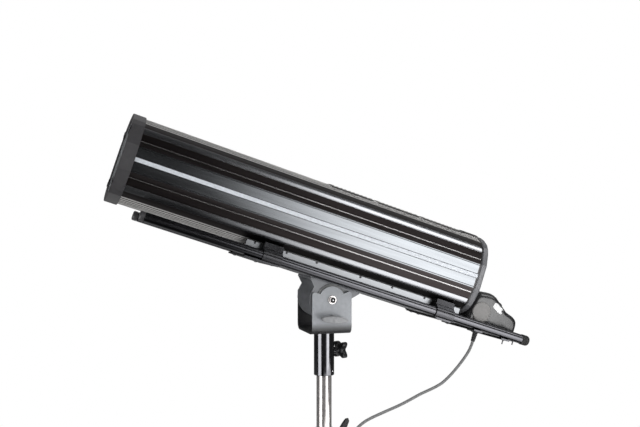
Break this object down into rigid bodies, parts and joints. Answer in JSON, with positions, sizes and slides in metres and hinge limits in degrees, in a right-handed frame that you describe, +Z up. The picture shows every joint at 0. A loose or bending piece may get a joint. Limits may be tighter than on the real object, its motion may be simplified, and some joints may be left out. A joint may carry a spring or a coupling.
{
  "type": "followspot",
  "caption": "Stage followspot: long ribbed lamp housing on twin side rails, tilting in a yoke on a mast, with a rear control console and a mains lead.",
  "frame": {"origin": "centre of the mast tube's lower end, where it leaves its stand", "axes": "+Z up along the mast; +X towards the rear of the lamp, where the operator stands; +Y to the far side in the picture; the head rests nose up by 18.3 degrees"},
  "size_m": [0.9823, 0.189, 0.8817],
  "materials": {
    "chrome_tube": "polished chrome plate",
    "black_plastic": "matt moulded black",
    "gloss_plastic": "gloss moulded black",
    "black_case": "gloss black anodised extrusion",
    "satin_end": "satin charcoal moulding",
    "grey_bracket": "satin dark grey powder coat",
    "black_metal": "satin black paint",
    "bright_steel": "zinc plated",
    "inner_metal": "bare pressed sheet",
    "clear_glass": "polished",
    "grip_rubber": "matt",
    "friction_pad": "dry friction lining",
    "cable_sheath": "matt grey sheath",
    "screen": "dark display glass"
  },
  "bodies": {
    "mast": {"mast_tube": "chrome_tube", "mast_end_plug": "black_plastic", "stand_collar": "black_metal"},
    "yoke": {"yoke_bracket": "grey_bracket", "mast_sleeve": "black_case", "sleeve_bolt": "bright_steel", "pivot_bolt": "bright_steel", "pivot_nut": "bright_steel", "friction_disc_near": "friction_pad", "friction_disc_far": "friction_pad", "coil_tie": "black_plastic", "mains_cord": "cable_sheath", "mains_coil": "cable_sheath", "mains_plug": "black_plastic"},
    "head": {"tilt_knuckle": "black_metal", "base_channel": "black_metal", "rail_near": "black_metal", "rail_far": "black_metal", "rail_grip_near": "grip_rubber", "rail_grip_far": "grip_rubber", "rail_clamp_front": "black_metal", "rail_clamp_rear": "black_metal", "console_base": "black_metal", "side_panel_near": "black_case", "side_panel_far": "black_case", "top_shell": "black_case", "bottom_shell": "black_case", "front_bezel": "satin_end", "front_window": "clear_glass", "rear_cap": "satin_end", "front_bulkhead": "inner_metal", "rear_bulkhead": "inner_metal", "guide_rod_near": "bright_steel", "guide_rod_far": "bright_steel", "bench_plate": "inner_metal", "iris_cartridge": "inner_metal", "light_engine": "inner_metal", "condenser_lens": "clear_glass", "heat_sink": "inner_metal", "fan_frame": "black_plastic", "power_supply": "inner_metal", "console_hood": "gloss_plastic", "control_panel": "black_plastic", "display": "screen", "strain_relief": "black_plastic"},
    "zoom_carriage": {"zoom_carriage": "inner_metal", "zoom_lens": "clear_glass"},
    "focus_carriage": {"focus_carriage": "inner_metal", "focus_lens": "clear_glass"},
    "collar_lever": {"collar_lever": "black_plastic"},
    "tilt_handle": {"tilt_handle": "black_plastic"},
    "pan_knob": {"pan_knob": "gloss_plastic"},
    "iris_ring": {"iris_ring": "inner_metal"},
    "fan_rotor": {"fan_rotor": "black_plastic"},
    "menu_button_1": {"menu_button_1": "black_plastic"},
    "menu_button_2": {"menu_button_2": "black_plastic"},
    "menu_button_3": {"menu_button_3": "black_plastic"},
    "dimmer_knob": {"dimmer_knob": "black_plastic"},
    "zoom_knob": {"zoom_knob": "black_plastic"},
    "power_rocker": {"power_rocker": "black_plastic"}
  },
  "joints": [
    {"name": "pan", "type": "hinge", "parent": "mast", "child": "yoke", "pos_m": [0, 0, 0.345], "axis": [0, 0, 1], "continuous": true},
    {"name": "tilt", "type": "hinge", "parent": "yoke", "child": "head", "pos_m": [0, 0, 0.47], "axis": [0, 1, 0], "range_deg": [-63.3, 26.7], "deforming": ["mains_cord"]},
    {"name": "tilt_handle_turn", "type": "hinge", "parent": "yoke", "child": "tilt_handle", "pos_m": [0, -0.0628, 0.4273], "axis": [0, 1, 0], "range_deg": [-90, 90]},
    {"name": "pan_knob_turn", "type": "hinge", "parent": "yoke", "child": "pan_knob", "pos_m": [0.02689, 0.01032, 0.345], "axis": [0.9336, 0.3584, 0], "range_deg": [-360, 360]},
    {"name": "collar_lever_swing", "type": "hinge", "parent": "mast", "child": "collar_lever", "pos_m": [0.032, -0.0093, 0.15172], "axis": [0, 1, 0], "range_deg": [0, 80]},
    {"name": "zoom_slide", "type": "slide", "parent": "head", "child": "zoom_carriage", "axis": [0.9494, 0, -0.314], "range_m": [-0.06, 0.06]},
    {"name": "focus_slide", "type": "slide", "parent": "head", "child": "focus_carriage", "axis": [0.9494, 0, -0.314], "range_m": [-0.06, 0.06]},
    {"name": "iris_turn", "type": "hinge", "parent": "head", "child": "iris_ring", "pos_m": [0.13684, 0, 0.58758], "axis": [0.9494, 0, -0.314], "range_deg": [-40, 40]},
    {"name": "fan_spin", "type": "hinge", "parent": "head", "child": "fan_rotor", "pos_m": [0.28362, 0, 0.53904], "axis": [0.9494, 0, -0.314], "continuous": true},
    {"name": "menu_button_1_press", "type": "slide", "parent": "head", "child": "menu_button_1", "axis": [-0.8072, 0, -0.5903], "range_m": [0, 0.0012], "stiffness_N_per_m": 400},
    {"name": "menu_button_2_press", "type": "slide", "parent": "head", "child": "menu_button_2", "axis": [-0.8072, 0, -0.5903], "range_m": [0, 0.0012], "stiffness_N_per_m": 400},
    {"name": "menu_button_3_press", "type": "slide", "parent": "head", "child": "menu_button_3", "axis": [-0.8072, 0, -0.5903], "range_m": [0, 0.0012], "stiffness_N_per_m": 400},
    {"name": "dimmer_knob_turn", "type": "hinge", "parent": "head", "child": "dimmer_knob", "pos_m": [0.43443, -0.022, 0.43768], "axis": [0.8072, 0, 0.5903], "range_deg": [-150, 150]},
    {"name": "zoom_knob_turn", "type": "hinge", "parent": "head", "child": "zoom_knob", "pos_m": [0.43443, 0.022, 0.43768], "axis": [0.8072, 0, 0.5903], "range_deg": [-150, 150]},
    {"name": "power_rocker_tip", "type": "hinge", "parent": "head", "child": "power_rocker", "pos_m": [0.45874, 0.03, 0.37937], "axis": [0, -1, 0], "range_deg": [0, 14]}
  ]
}
